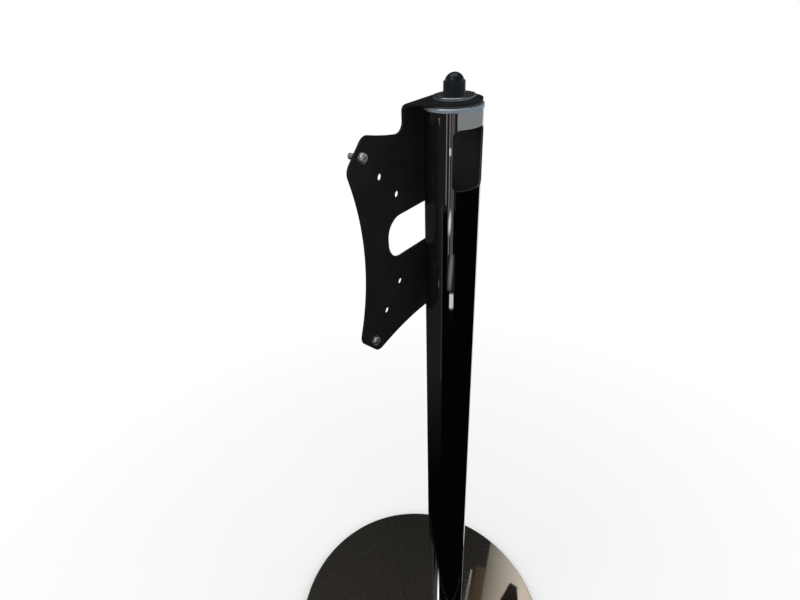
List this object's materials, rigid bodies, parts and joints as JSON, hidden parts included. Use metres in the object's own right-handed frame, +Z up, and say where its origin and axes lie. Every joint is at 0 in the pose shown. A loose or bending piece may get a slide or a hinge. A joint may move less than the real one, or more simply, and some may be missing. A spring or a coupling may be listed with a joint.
{
  "type": "tv stand with mount",
  "caption": "Floor stand for a screen: a round mirror-polished base, a chromed tube column with a cable window, and a black waisted mount plate that swivels on the column's top.",
  "frame": {"origin": "on the floor under the centre of the round base", "axes": "+Z up, -Y the way the mount plate faces at rest, +X to the plate's left as seen from behind; the stand's own front is turned 19 degrees from -Y towards -X"},
  "size_m": [0.4999, 0.5, 1.1071],
  "materials": {
    "polished_base": "mirror-polished steel",
    "chromed_tube": "bright chrome plate",
    "satin_cap": "satin turned steel",
    "washer_steel": "satin steel with a bright rim",
    "zinc_steel": "zinc-plated steel",
    "nickel_screw": "nickel-plated steel",
    "black_powder": "matte black powder coat",
    "cap_plastic": "satin black moulded plastic",
    "slide_plastic": "plain black nylon",
    "pad_rubber": "black rubber"
  },
  "bodies": {
    "stand": {"base_disc": "polished_base", "base_pads": "pad_rubber", "foot_plug": "zinc_steel", "foot_screws": "zinc_steel", "column_tube": "chromed_tube", "column_cap": "satin_cap", "pivot_bolt": "zinc_steel", "bolt_washer": "zinc_steel", "lower_slide_ring": "slide_plastic", "upper_slide_ring": "slide_plastic", "top_washer": "washer_steel", "lock_nut": "zinc_steel", "lock_nut_insert": "slide_plastic", "dome_cap": "cap_plastic"},
    "mount": {"mount_plate": "black_powder", "pivot_bush": "slide_plastic", "corner_screws": "nickel_screw", "corner_washers": "nickel_screw"}
  },
  "joints": [
    {"name": "mount_swivel", "type": "hinge", "parent": "stand", "child": "mount", "pos_m": [0.02865, 0.08321, 1.0797], "axis": [0, 0, 1], "range_deg": [-64, 26]}
  ]
}
